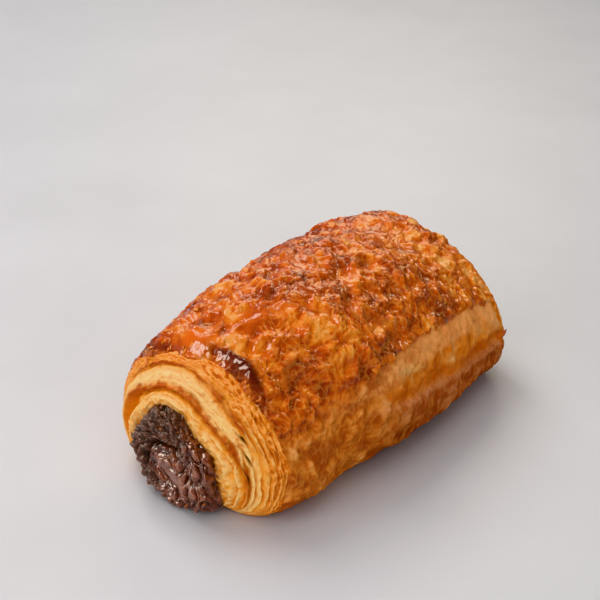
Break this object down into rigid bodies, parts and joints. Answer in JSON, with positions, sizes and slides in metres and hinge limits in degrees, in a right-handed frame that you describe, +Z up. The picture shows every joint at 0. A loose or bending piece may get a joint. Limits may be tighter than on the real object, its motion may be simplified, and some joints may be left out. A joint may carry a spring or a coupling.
{
  "type": "pain au chocolat",
  "caption": "Baked puff pastry roll with a run of melted chocolate that shows at both open ends; it rests on its flat base.",
  "frame": {"origin": "bottom centre of the bounding box, on the base the roll rests on", "axes": "+Z is up, the roll lies along Y with its larger lump of chocolate at -Y, +X is the side with the seam flap"},
  "size_m": [0.0732, 0.1158, 0.0505],
  "materials": {
    "crust": "egg-washed and baked puff pastry: glossy orange-brown crust over matte golden layers",
    "chocolate": "melted and set dark chocolate, lumpy and semi-gloss"
  },
  "bodies": {
    "root": {"pastry": "crust", "chocolate": "chocolate"}
  },
  "joints": []
}
